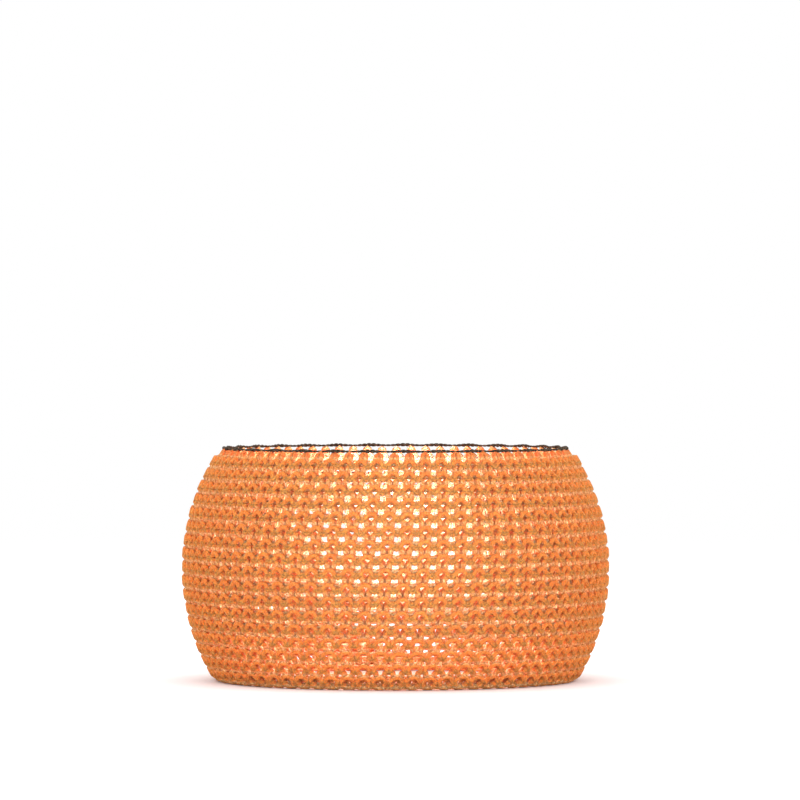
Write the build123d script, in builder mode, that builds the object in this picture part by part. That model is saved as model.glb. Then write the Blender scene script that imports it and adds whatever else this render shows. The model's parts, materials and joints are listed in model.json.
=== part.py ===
from build123d import *

import os
from math import asin, cos, pi, sin

# A bulb sleeve: a crocheted tube that swells like a barrel, on the form of a ball.
# One yarn is worked round and round in single crochet, always into the back loop,
# so the wall is a stack of equal courses. Each course is widest in a lip at its
# top and tucks in behind the lip of the course below it. The tube is open at both
# ends, and has a thin thread laced round its top edge.
#
# Millimetres. The origin is the centre of the bottom edge, +Z is up the axis, and
# the sleeve stands on its bottom edge.

# The ball-shaped space inside, and the yarn wall round it
globe_diameter = 125.0
glass_clearance = 0.2
wall_thickness = 3.9

# The courses, with their heights measured along the outside of the wall
bottom_edge_drop = 34.9
whole_courses = 17
course_height = 4.36
edge_course_height = 2.2
lip_drop = 1.3
notch_depth = 1.0
inside_facets = 9

# The thread laced round the top edge
thread_diameter = 1.0
thread_inset = 1.4
thread_sides = 6

# Worked out from the sizes above
inner_radius = globe_diameter / 2 + glass_clearance
outer_radius = inner_radius + wall_thickness
bottom_angle = -asin(bottom_edge_drop / outer_radius)
course_angle = course_height / outer_radius
top_angle = bottom_angle + whole_courses * course_angle + edge_course_height / outer_radius
sleeve_height = bottom_edge_drop + outer_radius * sin(top_angle)


def on_outside(angle):
    """Point of the barrel that the lips touch, at an angle above its widest level."""
    return (outer_radius * cos(angle), bottom_edge_drop + outer_radius * sin(angle))


def notch(angle):
    """Bottom of the groove between two courses."""
    radius, height = on_outside(angle)
    return (radius - notch_depth, height)


def on_inside(angle):
    """Point of the ball-shaped inside, at an angle above its widest level."""
    return (inner_radius * cos(angle), bottom_edge_drop + inner_radius * sin(angle))


# Outline of the courses from the bottom edge up: a sloping body, then a lip
course_tops = [bottom_angle + course * course_angle for course in range(1, whole_courses + 1)]
course_outline = [notch(bottom_angle)]
for course_top in course_tops + [top_angle]:
    course_outline.append(on_outside(course_top - lip_drop / outer_radius))
    course_outline.append(notch(course_top))

# Outline of the inside from the top edge down, in facets a little outside the ball
inside_top_angle = asin((sleeve_height - bottom_edge_drop) / inner_radius)
inside_bottom_angle = -asin(bottom_edge_drop / inner_radius)
facet_angle = (inside_bottom_angle - inside_top_angle) / inside_facets
inside_outline = [on_inside(inside_top_angle + facet * facet_angle) for facet in range(inside_facets + 1)]

# The crocheted sleeve, turned from the section of its wall
with BuildPart() as crocheted_sleeve:
    with BuildSketch(Plane.XZ):
        with BuildLine():
            Polyline(*course_outline, *inside_outline, close=True)
        make_face()
    revolve(axis=Axis.Z)

# The thread, a ring that lies with a flat on the top edge
thread_ring_radius = notch(top_angle)[0] - thread_inset
thread_flat_radius = thread_diameter / 2 * cos(pi / thread_sides)
with BuildPart() as edge_thread:
    with BuildSketch(Plane.XZ):
        with Locations((thread_ring_radius, sleeve_height + thread_flat_radius)):
            RegularPolygon(thread_diameter / 2, thread_sides)
    revolve(axis=Axis.Z)

os.makedirs("parts", exist_ok=True)
crocheted_sleeve.part.label = "crocheted_sleeve"
export_step(crocheted_sleeve.part, "parts/crocheted_sleeve.step")
edge_thread.part.label = "edge_thread"
export_step(edge_thread.part, "parts/edge_thread.step")
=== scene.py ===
import json
import math
import random

import bmesh
import bpy
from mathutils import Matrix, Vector


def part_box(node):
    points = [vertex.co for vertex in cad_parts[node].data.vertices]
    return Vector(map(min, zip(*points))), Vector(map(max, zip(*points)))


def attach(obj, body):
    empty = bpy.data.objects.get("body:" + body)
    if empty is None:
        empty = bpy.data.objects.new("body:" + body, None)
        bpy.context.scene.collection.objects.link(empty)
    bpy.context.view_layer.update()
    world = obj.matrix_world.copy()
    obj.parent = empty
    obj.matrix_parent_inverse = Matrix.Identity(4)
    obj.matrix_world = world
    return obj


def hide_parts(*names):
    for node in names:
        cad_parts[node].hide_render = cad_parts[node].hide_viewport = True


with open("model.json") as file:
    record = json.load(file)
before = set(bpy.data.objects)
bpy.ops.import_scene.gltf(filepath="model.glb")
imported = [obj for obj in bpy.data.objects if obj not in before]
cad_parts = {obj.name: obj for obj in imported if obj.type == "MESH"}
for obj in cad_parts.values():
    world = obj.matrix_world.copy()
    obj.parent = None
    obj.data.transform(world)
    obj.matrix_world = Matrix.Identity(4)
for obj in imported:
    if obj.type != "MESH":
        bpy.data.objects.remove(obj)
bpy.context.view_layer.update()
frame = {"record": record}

MM = 0.001

# The barrel that the wall follows, part of a ball, read from the frame, in metres
SLEEVE_LOW, SLEEVE_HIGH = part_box("crocheted_sleeve")
THREAD_LOW, THREAD_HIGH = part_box("edge_thread")
MOUNTS = {mount["name"]: mount for mount in frame["record"]["mounts"]}
WIDEST_HEIGHT = MOUNTS["globe_seat"]["pos_m"][2]
BARREL_CENTRE = (0, 0, WIDEST_HEIGHT)
OUTER_RADIUS = (SLEEVE_HIGH.x - SLEEVE_LOW.x) / 2

# The crochet: stitches in a course, courses to a piece, and heights along the wall
STITCHES = 72
WHOLE_COURSES = 17
BANDS = 3
COURSES_IN_BAND = 6
COURSE_HEIGHT = 4.36 * MM

# The yarn, its thickness in the legs and in the front loops as a share of the rest,
# and the lowest that the middle of a strand may lie
YARN_RADIUS = 0.82 * MM
LEG_THICKNESS = 1.15
FRONT_THICKNESS = 0.92
LOWEST = YARN_RADIUS * LEG_THICKNESS

# Latitudes on the barrel, in radians
BOTTOM_ANGLE = -math.asin(WIDEST_HEIGHT / OUTER_RADIUS)
COURSE_ANGLE = COURSE_HEIGHT / OUTER_RADIUS
EDGE_ANGLE = BOTTOM_ANGLE + WHOLE_COURSES * COURSE_ANGLE
TOP_ANGLE = math.asin((SLEEVE_HIGH.z - WIDEST_HEIGHT) / OUTER_RADIUS)

# The columns of stitches lean as they rise, and start a little off the front, in stitches
COLUMN_START = -0.04
COLUMN_LEAN = 0.05

# The lowest courses are pulled open, each less than the one below it. The gaps between
# their stitches are wider, their lips ride higher and their back loops hang lower, in
# courses. Some of them, counted from 0, have no inner legs behind the gaps.
PULLED_COURSES = 6
PULLED_WIDE = 0.60
PULLED_UP = 0.12
PULLED_DOWN = 0.30
COURSES_OPEN_INSIDE = (1, 2, 3)

# How far the stitches stray: in stitches, courses, millimetres and share of the yarn
STRAY_ALONG = 0.02
STRAY_UP = 0.02
STRAY_DEPTH = 0.10
STRAY_THICKNESS = 0.05
hand = random.Random(12)


def both_ways(rise):
    """Route of a whole stitch from its first half."""
    return rise + [(1 - along, up, depth) for along, up, depth in reversed(rise[1:-1])]


# Routes of one stitch's strands: along the course in stitches, up it in courses,
# and in from the lips in millimetres. Each route repeats for every stitch.
LEGS = both_ways([
    (0.00, -0.20, 2.5),
    (0.14, -0.17, 2.3),
    (0.18, 0.02, 1.65),
    (0.18, 0.16, 1.55),
    (0.20, 0.28, 1.35),
    (0.30, 0.38, 1.05),
    (0.40, 0.44, 1.05),
    (0.50, 0.47, 1.05),
])
INNER_LEGS = both_ways([
    (0.00, -0.14, 3.2),
    (0.12, -0.08, 3.2),
    (0.09, 0.42, 3.1),
    (0.30, 0.58, 2.9),
    (0.50, 0.62, 2.9),
])
FRONT_LOOP = both_ways([
    (0.00, 0.88, 0.80),
    (0.15, 0.84, 0.75),
    (0.28, 0.59, 0.75),
    (0.39, 0.37, 0.75),
    (0.50, 0.28, 0.75),
])
BACK_LOOP = both_ways([
    (0.00, 0.86, 2.8),
    (0.25, 0.79, 2.8),
    (0.50, 0.73, 2.8),
])

# Only legs stand in the last course, and a chain starts the first
EDGE_LEGS = both_ways([
    (0.00, 1.30, 2.2),
    (0.12, 1.15, 2.1),
    (0.15, 0.10, 2.0),
    (0.17, -0.30, 2.2),
    (0.50, -0.75, 2.9),
])
BASE_CHAIN = both_ways([
    (0.00, -0.10, 1.3),
    (0.28, -0.06, 1.5),
    (0.50, 0.12, 1.9),
])
BASE_BACK = both_ways([
    (0.00, -0.30, 2.9),
    (0.50, -0.30, 2.9),
])

# Turns of the yarn's twist in one stitch of each strand
LEG_TURNS = 4.5
LOOP_TURNS = 3.0

# The thread along the top edge: plies of one radius, laid round a line at another
THREAD_PLIES = 2
THREAD_PLY_RADIUS = 0.30 * MM
THREAD_LAY_RADIUS = 0.22 * MM
THREAD_TURNS = 108
THREAD_POINTS_IN_TURN = 6

# It swells out and up in waves. Between the swells its plies lie tight and are thin, and
# on them they lie loose and are thick, as shares of the two radii.
THREAD_SWELLS = 31
THREAD_SWELL_OUT = 0.7 * MM
THREAD_SWELL_UP = 0.15 * MM
THREAD_TIGHT_LAY = 0.6
THREAD_LOOSE_LAY = 1.4
THREAD_THIN = 0.8
THREAD_THICK = 1.2

# The line that it follows, a little in and down from the ring in the frame
THREAD_INSET = 0.5 * MM
THREAD_DROP = 0.3 * MM
THREAD_RADIUS = (THREAD_HIGH.x - THREAD_LOW.x) / 2 - THREAD_INSET
THREAD_HEIGHT = (THREAD_LOW.z + THREAD_HIGH.z) / 2 - THREAD_DROP

# Colours of the yarn and the thread
ORANGE = (1.0, 0.180, 0.028, 1)
TAN = (0.96, 0.235, 0.034, 1)
# Painted shade: darker and redder, for yarn deep in the wall where shade falls
SHADED_RECESS_RED = (0.92, 0.16, 0.04, 1)
# Painted glow: paler colours where light shining through the wall would brighten the yarn
PAINTED_GLOW_PEACH = (1.0, 0.45, 0.19, 1)
PAINTED_GLOW_SALMON = (1.0, 0.40, 0.15, 1)
FIBRE_BROWN = (0.48, 0.125, 0.017, 1)
# Painted shade: darker red in the grooves between the plies
PLY_GROOVE_SHADE_RED = (0.70, 0.17, 0.035, 1)
SHEEN_PEACH = (1.0, 0.72, 0.5, 1)
DARK_BROWN = (0.030, 0.020, 0.013, 1)
WORN_BROWN = (0.13, 0.095, 0.065, 1)

# Where painted light and shade change the yarn's colour: height in a course with how near and far, in
# courses, then where in the depth of the wall it starts and is full. The paler colours are painted glow of
# light shining through the wall, and the deep colour is painted shade.
# Painted glow in peach, deep in the wall near one height of each course
PAINTED_GLOW_INSIDE = (-0.03, 0.24, 0.36)
PAINTED_GLOW_DEPTHS = (1.4 * MM, 1.9 * MM)
# Painted glow in salmon, in the gap between the courses
PAINTED_GLOW_LIP_GAP = (0.13, 0.06, 0.20)
PAINTED_GLOW_GAP_DEPTHS = (0.1 * MM, 0.5 * MM)
SHADED_RECESS_DEPTHS = (0.7 * MM, 1.5 * MM)
FIBRE_STRENGTH = 0.75
# How strong the painted shade between the plies is
PLY_GROOVE_SHADE_STRENGTH = 0.7

# Sizes of the cloudy patches and of the loose fibres, and how far each spreads from its mean
PATCH_SIZE = 9 * MM
PATCH_SPREAD = 0.22
FIBRE_SIZE = 0.55 * MM
FIBRE_SPREAD = 0.08

# The camera: where it stands, in metres, and its view, in pixels of the photograph
CAMERA_DISTANCE = 1.9
CAMERA_HEIGHT = 0.1089
PITCH_DOWN = math.radians(0.65)
IMAGE_SIZE = 800
FOCAL_PIXELS = 6100
AXIS_PIXEL = 395.5

# The width of its sensor, in millimetres, and the farthest that it sees, in metres
SENSOR_WIDTH = 36
FARTHEST_SEEN = 200

# The floor, which fades out between two distances from the axis, in metres
FLOOR_RADIUS = 1.5
FLOOR_SIDES = 64
FADE_START = 0.25
FADE_END = 1.3
FLOOR_GREY = (0.9, 0.9, 0.9, 1)

# The white dome that lights the scene, and the backdrop that the camera sees in its place
WHITE = (1, 1, 1, 1)
DOME_STRENGTH = 1.58
BACKDROP_STRENGTH = 1.0

# Colours of the lights that fall on the yarn alone
FRONT_BLUE = (0.48, 0.76, 1.0)
GLOW_BLUE = (0.75, 0.8, 1.0)
FAR_BLUE = (0.30, 0.50, 1.0)


def add_to_scene(thing):
    bpy.context.scene.collection.objects.link(thing)


def round_the_axis(radius, angle, height):
    return Vector((radius * math.cos(angle), radius * math.sin(angle), height))


def on_wall(course, along, up, depth):
    """Place in the wall: course from the bottom, then a route's three numbers."""
    if course < WHOLE_COURSES:
        latitude = BOTTOM_ANGLE + (course + up) * COURSE_ANGLE
    else:
        latitude = EDGE_ANGLE + up * (TOP_ANGLE - EDGE_ANGLE)
    lean = COLUMN_LEAN * (course + up - WHOLE_COURSES / 2)
    angle = 2 * math.pi * (along + COLUMN_START - 0.5 + lean) / STITCHES - math.pi / 2
    radius = OUTER_RADIUS - depth * MM
    height = max(WIDEST_HEIGHT + radius * math.sin(latitude), LOWEST)
    return round_the_axis(radius * math.cos(latitude), angle, height)


def strays_of_a_course():
    """How each stitch of a course strays: along, up and in."""
    return [
        (hand.gauss(0, STRAY_ALONG), hand.gauss(0, STRAY_UP), hand.gauss(0, STRAY_DEPTH))
        for stitch in range(STITCHES)
    ]


def pull(course):
    """How far a course is pulled open: 1 for the lowest, 0 above the pulled ones."""
    return max(0, 1 - course / PULLED_COURSES)


def strand_points(course, route, strays, thickness=1.0, lift=0.0):
    """Points of one closed strand round a course, each with its thickness."""
    points = []
    pulled_wide = PULLED_WIDE * pull(course) / (2 * math.pi)
    for stitch in range(STITCHES):
        next_stray = strays[(stitch + 1) % STITCHES]
        for along, up, depth in route:
            stray = [own * (1 - along) + other * along for own, other in zip(strays[stitch], next_stray)]
            along_here = along + pulled_wide * math.sin(2 * math.pi * along) + stray[0]
            up_here = up + lift + stray[1] + hand.gauss(0, STRAY_UP / 2)
            place = on_wall(course, stitch + along_here, up_here, depth + stray[2])
            points.append((place, thickness * (1 + hand.gauss(0, STRAY_THICKNESS))))
    return points


def strand_mesh(strands, radius, turns):
    """Round closed strands as a mesh, with their twist counted in turns along the UV map."""
    curve = bpy.data.curves.new("strands", "CURVE")
    curve.dimensions = "3D"
    curve.bevel_depth = radius
    curve.bevel_resolution = 1
    curve.twist_mode = "MINIMUM"
    for points in strands:
        spline = curve.splines.new("NURBS")
        spline.points.add(len(points) - 1)
        for point, (place, thickness) in zip(spline.points, points):
            point.co = (*place, 1)
            point.radius = thickness
        spline.use_cyclic_u = True
        spline.order_u = 4
        spline.resolution_u = 1
    carrier = bpy.data.objects.new("strands", curve)
    add_to_scene(carrier)
    bpy.context.view_layer.update()
    mesh = bpy.data.meshes.new_from_object(carrier.evaluated_get(bpy.context.evaluated_depsgraph_get()))
    bpy.data.objects.remove(carrier)
    for corner in mesh.uv_layers[0].data:
        corner.uv = (corner.uv[0] * turns, corner.uv[1])
    return mesh


def joined(meshes, name):
    """One smooth mesh from several."""
    work = bmesh.new()
    for mesh in meshes:
        work.from_mesh(mesh)
    for face in work.faces:
        face.smooth = True
    whole = bpy.data.meshes.new(name)
    work.to_mesh(whole)
    work.free()
    return whole


def add_piece(name, mesh, material, node):
    """Piece that rides on the part and stands for one of its nodes."""
    mesh.materials.append(material)
    piece = bpy.data.objects.new(name, mesh)
    add_to_scene(piece)
    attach(piece, "root")
    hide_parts(node)
    return piece


def set_socket(tree, socket, value):
    """A number or colour on a socket, or a link from another socket."""
    if isinstance(value, bpy.types.NodeSocket):
        tree.links.new(value, socket)
    else:
        socket.default_value = value


def reckon(tree, operation, *values):
    """Output of a Math node."""
    node = tree.nodes.new("ShaderNodeMath")
    node.operation = operation
    for socket, value in zip(node.inputs, values):
        set_socket(tree, socket, value)
    return node.outputs[0]


def vector_node(tree, operation, *values):
    """A Vector Math node."""
    node = tree.nodes.new("ShaderNodeVectorMath")
    node.operation = operation
    for socket, value in zip(node.inputs, values):
        set_socket(tree, socket, value)
    return node


def blended(tree, share, first, second):
    """Output of a colour mix."""
    node = tree.nodes.new("ShaderNodeMix")
    node.data_type = "RGBA"
    set_socket(tree, node.inputs["Factor"], share)
    set_socket(tree, node.inputs["A"], first)
    set_socket(tree, node.inputs["B"], second)
    return node.outputs["Result"]


def smooth_step(tree, value, zero_at, one_at):
    """0 at one value and 1 at another, with a smooth passage between them."""
    step = tree.nodes.new("ShaderNodeMapRange")
    step.interpolation_type = "SMOOTHSTEP"
    step.inputs["From Min"].default_value = zero_at
    step.inputs["From Max"].default_value = one_at
    tree.links.new(value, step.inputs["Value"])
    return step.outputs["Result"]


def cloudiness(tree, place, size, spread_by):
    """Noise of a given size in metres, spread over 0 to 1."""
    noise = tree.nodes.new("ShaderNodeTexNoise")
    noise.inputs["Scale"].default_value = 1 / size
    noise.inputs["Detail"].default_value = 2
    noise.inputs["Roughness"].default_value = 0.6
    tree.links.new(place, noise.inputs["Vector"])
    spread = tree.nodes.new("ShaderNodeMapRange")
    spread.inputs["From Min"].default_value = 0.5 - spread_by
    spread.inputs["From Max"].default_value = 0.5 + spread_by
    tree.links.new(noise.outputs["Fac"], spread.inputs["Value"])
    return spread.outputs["Result"]


def depth_in_wall(tree, place, depths):
    """0 down to the first depth in the wall, and 1 from the second."""
    shallow, deep = depths
    distance = vector_node(tree, "DISTANCE", place, BARREL_CENTRE)
    return smooth_step(tree, distance.outputs["Value"], OUTER_RADIUS - shallow, OUTER_RADIUS - deep)


def near_height(tree, place, heights):
    """1 near one height of every course and 0 far from it, all in courses."""
    up, near, far = heights
    from_centre = vector_node(tree, "SUBTRACT", place, BARREL_CENTRE)
    direction = vector_node(tree, "NORMALIZE", from_centre.outputs["Vector"])
    parts = tree.nodes.new("ShaderNodeSeparateXYZ")
    tree.links.new(direction.outputs["Vector"], parts.inputs[0])
    latitude = reckon(tree, "ARCSINE", parts.outputs["Z"])
    above_bottom = reckon(tree, "SUBTRACT", latitude, BOTTOM_ANGLE)
    courses = reckon(tree, "DIVIDE", above_bottom, COURSE_ANGLE)
    offset = reckon(tree, "WRAP", reckon(tree, "SUBTRACT", courses, up), 0.5, -0.5)
    return smooth_step(tree, reckon(tree, "ABSOLUTE", offset), far, near)


def near_and_deep(tree, place, heights, depths):
    """1 near one height of every course, deep enough in the wall."""
    near = near_height(tree, place, heights)
    return reckon(tree, "MULTIPLY", near, depth_in_wall(tree, place, depths))


def twisted_plies_group():
    """Plies that wind round a strand, and the loose fibres on them."""
    group = bpy.data.node_groups.new("twisted_plies", "ShaderNodeTree")
    for name in ("Plies", "Fibre share"):
        group.interface.new_socket(name, in_out="INPUT", socket_type="NodeSocketFloat")
    for name in ("Crown", "Fibres", "Height"):
        group.interface.new_socket(name, in_out="OUTPUT", socket_type="NodeSocketFloat")
    entry = group.nodes.new("NodeGroupInput")
    end = group.nodes.new("NodeGroupOutput")
    coordinates = group.nodes.new("ShaderNodeTexCoord")
    along_and_round = group.nodes.new("ShaderNodeSeparateXYZ")
    group.links.new(coordinates.outputs["UV"], along_and_round.inputs[0])
    wind = reckon(group, "MULTIPLY", along_and_round.outputs["Y"], entry.outputs["Plies"])
    across = reckon(group, "ADD", wind, along_and_round.outputs["X"])
    wave = reckon(group, "SINE", reckon(group, "MULTIPLY", across, math.pi))
    crown = reckon(group, "ABSOLUTE", wave)
    fibres = cloudiness(group, coordinates.outputs["Object"], FIBRE_SIZE, FIBRE_SPREAD)
    raised = reckon(group, "MULTIPLY", fibres, entry.outputs["Fibre share"])
    group.links.new(crown, end.inputs["Crown"])
    group.links.new(fibres, end.inputs["Fibres"])
    group.links.new(reckon(group, "ADD", crown, raised), end.inputs["Height"])
    return group


def plied_material(name, plies, fibre_share, relief, colour_from):
    """Matt plied material. colour_from makes its colour from the tree, the crowns and the fibres."""
    material = bpy.data.materials.new(name)
    material.use_nodes = True
    tree = material.node_tree
    shader = tree.nodes["Principled BSDF"]
    twist = tree.nodes.new("ShaderNodeGroup")
    twist.node_tree = TWISTED_PLIES
    twist.inputs["Plies"].default_value = plies
    twist.inputs["Fibre share"].default_value = fibre_share
    colour = colour_from(tree, twist.outputs["Crown"], twist.outputs["Fibres"])
    set_socket(tree, shader.inputs["Base Color"], colour)
    bump = tree.nodes.new("ShaderNodeBump")
    bump.inputs["Strength"].default_value = 1
    bump.inputs["Distance"].default_value = relief
    tree.links.new(twist.outputs["Height"], bump.inputs["Height"])
    tree.links.new(bump.outputs["Normal"], shader.inputs["Normal"])
    shader.inputs["Roughness"].default_value = 0.95
    shader.inputs["Specular IOR Level"].default_value = 0.1
    return material


def yarn_colour(tree, crown, fibres):
    """Orange and tan outside, darker and redder deep in the wall as painted shade, peach and salmon in the
    gaps of each course as painted glow of light shining through, browner on loose fibres and darker red
    between the plies as painted shade."""
    place = tree.nodes.new("ShaderNodeTexCoord").outputs["Object"]
    outside = blended(tree, cloudiness(tree, place, PATCH_SIZE, PATCH_SPREAD), ORANGE, TAN)
    # Painted shade: darker and redder deep in the wall
    shaded_in_recess = blended(tree, depth_in_wall(tree, place, SHADED_RECESS_DEPTHS), outside, SHADED_RECESS_RED)
    # Painted glow: peach deep in the wall near one height of each course
    inside = blended(tree, near_and_deep(tree, place, PAINTED_GLOW_INSIDE, PAINTED_GLOW_DEPTHS), shaded_in_recess, PAINTED_GLOW_PEACH)
    # Painted glow: salmon in the gap between the courses
    body = blended(tree, near_and_deep(tree, place, PAINTED_GLOW_LIP_GAP, PAINTED_GLOW_GAP_DEPTHS), inside, PAINTED_GLOW_SALMON)
    fibred = blended(tree, reckon(tree, "MULTIPLY", fibres, FIBRE_STRENGTH), body, FIBRE_BROWN)
    # Painted shade: darker red in the grooves between the plies
    ply_groove_shade = reckon(tree, "MULTIPLY", reckon(tree, "SUBTRACT", 1.0, crown), PLY_GROOVE_SHADE_STRENGTH)
    return blended(tree, ply_groove_shade, fibred, PLY_GROOVE_SHADE_RED)


def yarn_material():
    """Soft yarn that lets some light through, with a faint warm sheen."""
    material = plied_material("yarn", plies=4, fibre_share=1.0, relief=0.45 * MM, colour_from=yarn_colour)
    shader = material.node_tree.nodes["Principled BSDF"]
    shader.inputs["Subsurface Weight"].default_value = 0.6
    shader.inputs["Subsurface Radius"].default_value = (1.0, 0.7, 0.45)
    shader.inputs["Subsurface Scale"].default_value = 2.5 * MM
    shader.inputs["Sheen Weight"].default_value = 0.1
    shader.inputs["Sheen Roughness"].default_value = 0.5
    shader.inputs["Sheen Tint"].default_value = SHEEN_PEACH
    return material


def thread_colour(tree, crown, fibres):
    """Dark brown, with paler fibres on the crowns."""
    return blended(tree, reckon(tree, "MULTIPLY", crown, fibres), DARK_BROWN, WORN_BROWN)


def thread_material():
    """Dark thread, smoother than the yarn."""
    return plied_material("thread", plies=3, fibre_share=0.4, relief=0.08 * MM, colour_from=thread_colour)


def strands_of_course(course):
    """Leg strands and loop strands of one course."""
    strays = strays_of_a_course()
    if course == WHOLE_COURSES:
        return [strand_points(course, EDGE_LEGS, strays, LEG_THICKNESS)], []
    legs = [strand_points(course, LEGS, strays, LEG_THICKNESS)]
    loops = [strand_points(course, FRONT_LOOP, strays, FRONT_THICKNESS, PULLED_UP * pull(course))]
    loops.append(strand_points(course, BACK_LOOP, strays, lift=-PULLED_DOWN * pull(course)))
    if course not in COURSES_OPEN_INSIDE:
        loops.append(strand_points(course, INNER_LEGS, strays))
    if course == 0:
        loops += [strand_points(course, route, strays) for route in (BASE_CHAIN, BASE_BACK)]
    return legs, loops


def crocheted_band(name, first_course):
    """Some courses of the sleeve, as one piece."""
    legs = []
    loops = []
    for course in range(first_course, first_course + COURSES_IN_BAND):
        course_legs, course_loops = strands_of_course(course)
        legs += course_legs
        loops += course_loops
    meshes = [
        strand_mesh(legs, YARN_RADIUS, round(LEG_TURNS * STITCHES)),
        strand_mesh(loops, YARN_RADIUS, round(LOOP_TURNS * STITCHES)),
    ]
    return add_piece(name, joined(meshes, name), YARN, "crocheted_sleeve")


def thread_ply_points(ply):
    """Points of one ply of the thread, each with its thickness."""
    points = []
    steps = THREAD_TURNS * THREAD_POINTS_IN_TURN
    for step in range(steps):
        share = step / steps
        swell = math.sin(math.pi * THREAD_SWELLS * share) ** 2
        twist = 2 * math.pi * (THREAD_TURNS * share + ply / THREAD_PLIES)
        lay = THREAD_LAY_RADIUS * (THREAD_TIGHT_LAY + (THREAD_LOOSE_LAY - THREAD_TIGHT_LAY) * swell)
        radius = THREAD_RADIUS + lay * math.cos(twist) + THREAD_SWELL_OUT * swell
        height = THREAD_HEIGHT + lay * math.sin(twist) + THREAD_SWELL_UP * (swell - 0.5)
        thickness = THREAD_THIN + (THREAD_THICK - THREAD_THIN) * swell
        place = round_the_axis(radius, 2 * math.pi * share, height)
        points.append((place, thickness * (1 + hand.gauss(0, STRAY_THICKNESS))))
    return points


def laced_thread():
    """The twisted thread along the top edge."""
    plies = [thread_ply_points(ply) for ply in range(THREAD_PLIES)]
    mesh = joined([strand_mesh(plies, THREAD_PLY_RADIUS, THREAD_TURNS)], "laced_thread")
    return add_piece("laced_thread", mesh, THREAD, "edge_thread")


def add_camera():
    """Camera at the photograph's viewing angle."""
    data = bpy.data.cameras.new("camera")
    data.sensor_width = SENSOR_WIDTH
    data.lens = FOCAL_PIXELS / IMAGE_SIZE * SENSOR_WIDTH
    data.clip_end = FARTHEST_SEEN
    camera = bpy.data.objects.new("camera", data)
    yaw = math.atan((IMAGE_SIZE / 2 - AXIS_PIXEL) / FOCAL_PIXELS)
    camera.location = (0, -CAMERA_DISTANCE, CAMERA_HEIGHT)
    camera.rotation_euler = (math.pi / 2 - PITCH_DOWN, 0, -yaw)
    add_to_scene(camera)
    bpy.context.scene.camera = camera


def floor_material():
    """Pale floor that fades out away from the sleeve."""
    material = bpy.data.materials.new("floor")
    material.use_nodes = True
    tree = material.node_tree
    shader = tree.nodes["Principled BSDF"]
    shader.inputs["Base Color"].default_value = FLOOR_GREY
    shader.inputs["Roughness"].default_value = 0.9
    place = tree.nodes.new("ShaderNodeTexCoord").outputs["Object"]
    distance = vector_node(tree, "LENGTH", place).outputs["Value"]
    tree.links.new(smooth_step(tree, distance, FADE_END, FADE_START), shader.inputs["Alpha"])
    return material


def add_floor():
    """Round floor under the sleeve."""
    mesh = bpy.data.meshes.new("floor")
    shape = bmesh.new()
    bmesh.ops.create_circle(shape, cap_ends=True, segments=FLOOR_SIDES, radius=FLOOR_RADIUS)
    shape.to_mesh(mesh)
    shape.free()
    floor = bpy.data.objects.new("floor", mesh)
    add_to_scene(floor)
    mesh.materials.append(floor_material())


def light_world():
    """White dome all round, dimmer where the camera sees it."""
    world = bpy.data.worlds.new("world")
    bpy.context.scene.world = world
    world.use_nodes = True
    sky = world.node_tree
    dome = sky.nodes["Background"]
    dome.inputs["Color"].default_value = WHITE
    dome.inputs["Strength"].default_value = DOME_STRENGTH
    backdrop = sky.nodes.new("ShaderNodeBackground")
    backdrop.inputs["Color"].default_value = WHITE
    backdrop.inputs["Strength"].default_value = BACKDROP_STRENGTH
    choice = sky.nodes.new("ShaderNodeMixShader")
    sky.links.new(sky.nodes.new("ShaderNodeLightPath").outputs["Is Camera Ray"], choice.inputs["Fac"])
    sky.links.new(dome.outputs[0], choice.inputs[1])
    sky.links.new(backdrop.outputs[0], choice.inputs[2])
    sky.links.new(choice.outputs[0], sky.nodes["World Output"].inputs["Surface"])


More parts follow.
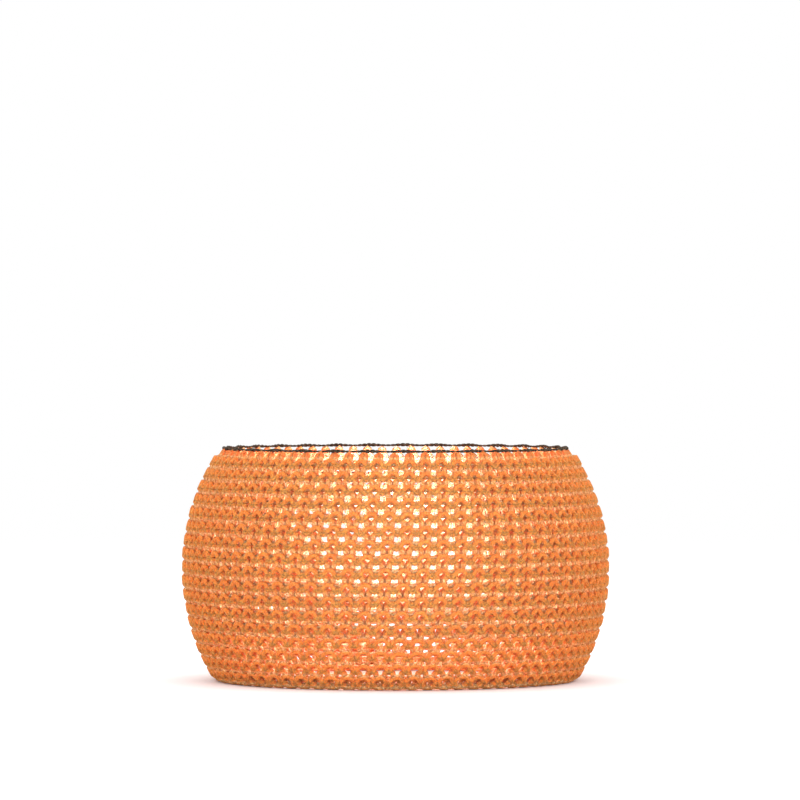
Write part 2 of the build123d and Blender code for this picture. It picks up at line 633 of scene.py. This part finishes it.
def add_light(name, kind, watts, place):
    """Light at a place, which points down until it is aimed."""
    data = bpy.data.lights.new(name, kind)
    data.energy = watts
    light = bpy.data.objects.new(name, data)
    light.location = place
    add_to_scene(light)
    return light


def aim(light, target):
    light.rotation_euler = (Vector(target) - light.location).to_track_quat("-Z", "Y").to_euler()


def add_key_light():
    """Wide soft light in front."""
    key = add_light("key", "AREA", watts=3, place=(0.15, -1.5, 0.16))
    key.data.shape = "RECTANGLE"
    key.data.size = 1.0
    key.data.size_y = 0.3
    aim(key, (0, 0, 0.035))


def add_tinted_light(name, kind, watts, colour, radius, place):
    light = add_light(name, kind, watts, place)
    light.data.color = colour
    light.data.shadow_soft_size = radius
    return light


def make_cone(spot, degrees, target):
    """A spot's width and aim, with its edge as soft as it can be."""
    spot.data.spot_size = math.radians(degrees)
    spot.data.spot_blend = 1
    aim(spot, target)


def add_yarn_lights(pieces):
    """Lights that fall on these pieces alone: on the middle of the front, inside, and on the far side."""
    lit_pieces = bpy.data.collections.new("lit_pieces")
    for piece in pieces:
        lit_pieces.objects.link(piece)
    front_middle = add_tinted_light(
        "front_middle", "SPOT", watts=53, colour=FRONT_BLUE, radius=0.05, place=(0, -0.8, 0.12))
    make_cone(front_middle, 11, (0, 0, WIDEST_HEIGHT + 0.003))
    glow = add_tinted_light(
        "glow", "POINT", watts=0.7, colour=GLOW_BLUE, radius=0.02, place=(0, -0.015, WIDEST_HEIGHT + 0.005))
    far_side = add_tinted_light(
        "far_side", "SPOT", watts=3, colour=FAR_BLUE, radius=0.01, place=(0, 0, WIDEST_HEIGHT + 0.01))
    make_cone(far_side, 76, (0, OUTER_RADIUS, WIDEST_HEIGHT + 0.01))
    for light in (front_middle, glow, far_side):
        light.light_linking.receiver_collection = lit_pieces
    for light in (glow, far_side):
        light.visible_camera = False


TWISTED_PLIES = twisted_plies_group()
YARN = yarn_material()
THREAD = thread_material()

YARN_PIECES = [crocheted_band(f"courses_{band}", band * COURSES_IN_BAND) for band in range(BANDS)]
laced_thread()

add_camera()
add_floor()
light_world()
add_key_light()
add_yarn_lights(YARN_PIECES)
bpy.context.scene.view_settings.view_transform = "Standard"
